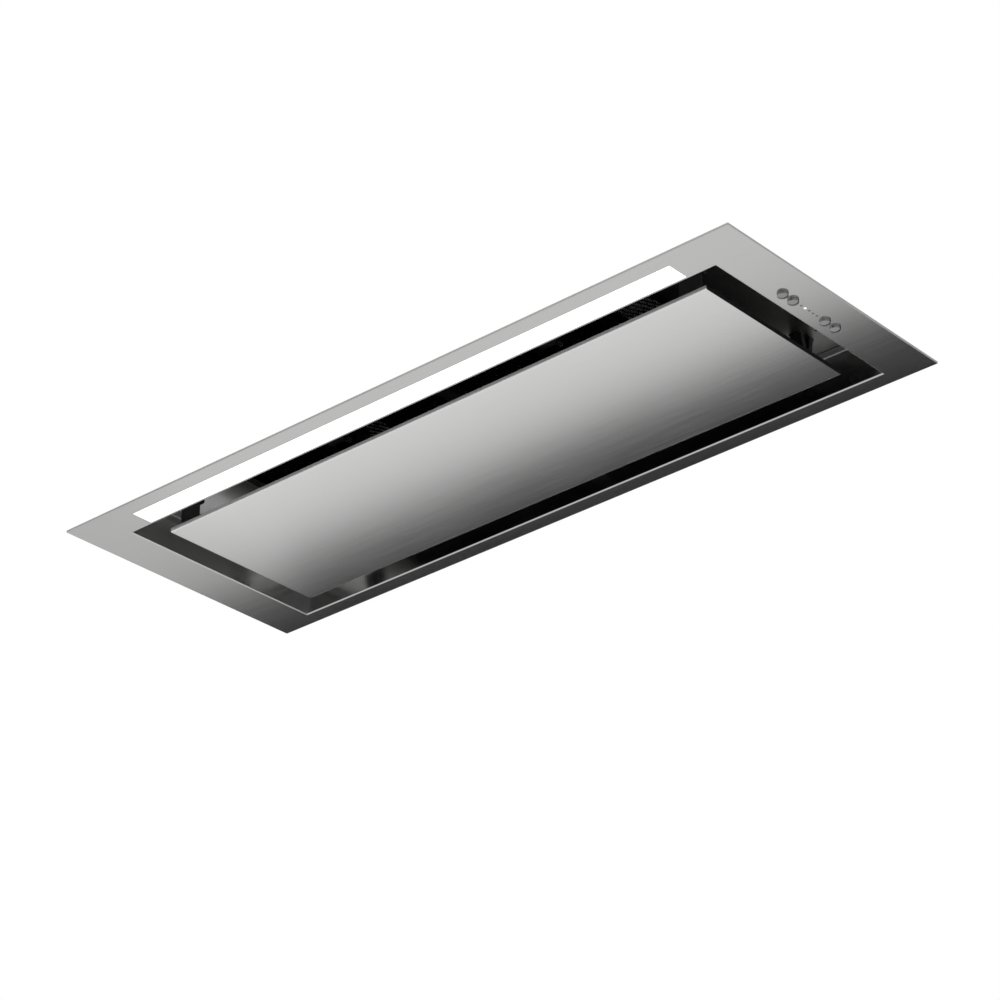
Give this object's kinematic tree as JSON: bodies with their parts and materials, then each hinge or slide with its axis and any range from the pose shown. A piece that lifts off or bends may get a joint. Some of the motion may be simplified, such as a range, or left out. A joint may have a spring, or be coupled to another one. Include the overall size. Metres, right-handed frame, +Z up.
{
  "type": "built-in range hood",
  "caption": "Built-in range hood: recessed steel fascia with a hinged suction panel, strip lamp and push buttons under a duct-out blower housing.",
  "frame": {"origin": "middle of the fascia, in the plane that meets the underside of the cabinet", "axes": "+X along the hood towards the end with the buttons, +Y from the lamp side to the back, +Z up into the cabinet"},
  "size_m": [0.8, 0.3, 0.297],
  "materials": {
    "stainless": "brushed along the hood, satin",
    "sheet_steel": "galvanised, dull with a fine spangle",
    "bright_steel": "bright zinc plated",
    "black_steel": "satin black",
    "aluminium": "anodised black, satin",
    "filter_mesh": "expanded mesh, anodised black",
    "opal": "opal, evenly lit",
    "lens": "clear light pipe over a dark bore",
    "lens_lit": "clear light pipe, lit",
    "button": "satin chromed",
    "black_plastic": "moulded, fine texture",
    "grey_plastic": "moulded",
    "white_plastic": "moulded",
    "board": "solder mask",
    "rubber": "soft matt",
    "foam": "closed-cell foam",
    "spring_steel": "drawn wire",
    "copper": "enamelled winding",
    "magnet": "nickel plated"
  },
  "bodies": {
    "hood": {"fascia": "stainless", "seat_gasket": "foam", "suction_plate": "sheet_steel", "lower_housing": "sheet_steel", "upper_housing": "sheet_steel", "top_plate": "sheet_steel", "lamp_tray": "sheet_steel", "scroll_wrap": "sheet_steel", "scroll_sides": "sheet_steel", "motor_can": "sheet_steel", "motor_cap": "sheet_steel", "hinge_hangers": "black_steel", "hinge_pins": "bright_steel", "catch_brackets": "black_steel", "catch_magnets": "magnet", "side_clips": "spring_steel", "housing_screws": "bright_steel", "damper_pin": "bright_steel", "motor_bracket": "black_steel", "motor_mounts": "rubber", "motor_stator": "copper", "motor_bearings": "bright_steel", "lamp_diffuser": "opal", "led_board": "white_plastic", "led_driver": "white_plastic", "control_carrier": "black_plastic", "control_board": "board", "button_switches": "black_plastic", "indicator_lenses": "lens", "indicator_lit": "lens_lit", "duct_collar": "black_plastic", "electronics_box": "grey_plastic", "electronics_lid": "grey_plastic", "power_board": "board", "cable_gland": "grey_plastic", "wiring": "black_plastic", "button_spring_1": "spring_steel", "button_spring_2": "spring_steel", "button_spring_3": "spring_steel", "button_spring_4": "spring_steel", "filter_meshes": "filter_mesh", "filter_frame_left": "aluminium", "latch_spring_left": "spring_steel", "filter_frame_right": "aluminium", "latch_spring_right": "spring_steel"},
    "suction_panel": {"panel_skin": "stainless", "panel_tray": "sheet_steel", "hinge_leaves": "black_steel", "strike_plates": "bright_steel"},
    "blower_wheel": {"impeller": "sheet_steel", "impeller_blades": "sheet_steel", "motor_rotor": "bright_steel"},
    "damper_left": {"damper_flap_left": "black_plastic"},
    "damper_right": {"damper_flap_right": "black_plastic"},
    "latch_left": {"filter_latch_left": "black_plastic"},
    "latch_right": {"filter_latch_right": "black_plastic"},
    "push_button_1": {"button_1": "button"},
    "push_button_2": {"button_2": "button"},
    "push_button_3": {"button_3": "button"},
    "push_button_4": {"button_4": "button"}
  },
  "joints": [
    {"name": "panel_swing", "type": "hinge", "parent": "hood", "child": "suction_panel", "pos_m": [0, -0.075, 0.024], "axis": [-1, 0, 0], "range_deg": [0, 90]},
    {"name": "wheel_spin", "type": "hinge", "parent": "hood", "child": "blower_wheel", "pos_m": [0, -0.03, 0.145], "axis": [1, 0, 0], "continuous": true},
    {"name": "damper_left_swing", "type": "hinge", "parent": "hood", "child": "damper_left", "pos_m": [0, 0.0285, 0.2628], "axis": [0, 1, 0], "range_deg": [0, 75]},
    {"name": "damper_right_swing", "type": "hinge", "parent": "hood", "child": "damper_right", "pos_m": [0, 0.0285, 0.2628], "axis": [0, -1, 0], "range_deg": [0, 75]},
    {"name": "latch_left_slide", "type": "slide", "parent": "hood", "child": "latch_left", "axis": [0, 1, 0], "range_m": [0, 0.006], "stiffness_N_per_m": 300, "springref_m": -0.004, "deforming": ["latch_spring_left"]},
    {"name": "latch_right_slide", "type": "slide", "parent": "hood", "child": "latch_right", "axis": [0, 1, 0], "range_m": [0, 0.006], "stiffness_N_per_m": 300, "springref_m": -0.004, "deforming": ["latch_spring_right"]},
    {"name": "button_1_press", "type": "slide", "parent": "hood", "child": "push_button_1", "axis": [0, 0, 1], "range_m": [0, 0.0012], "stiffness_N_per_m": 400, "springref_m": -0.0013, "deforming": ["button_spring_1"]},
    {"name": "button_2_press", "type": "slide", "parent": "hood", "child": "push_button_2", "axis": [0, 0, 1], "range_m": [0, 0.0012], "stiffness_N_per_m": 400, "springref_m": -0.0013, "deforming": ["button_spring_2"]},
    {"name": "button_3_press", "type": "slide", "parent": "hood", "child": "push_button_3", "axis": [0, 0, 1], "range_m": [0, 0.0012], "stiffness_N_per_m": 400, "springref_m": -0.0013, "deforming": ["button_spring_3"]},
    {"name": "button_4_press", "type": "slide", "parent": "hood", "child": "push_button_4", "axis": [0, 0, 1], "range_m": [0, 0.0012], "stiffness_N_per_m": 400, "springref_m": -0.0013, "deforming": ["button_spring_4"]}
  ]
}
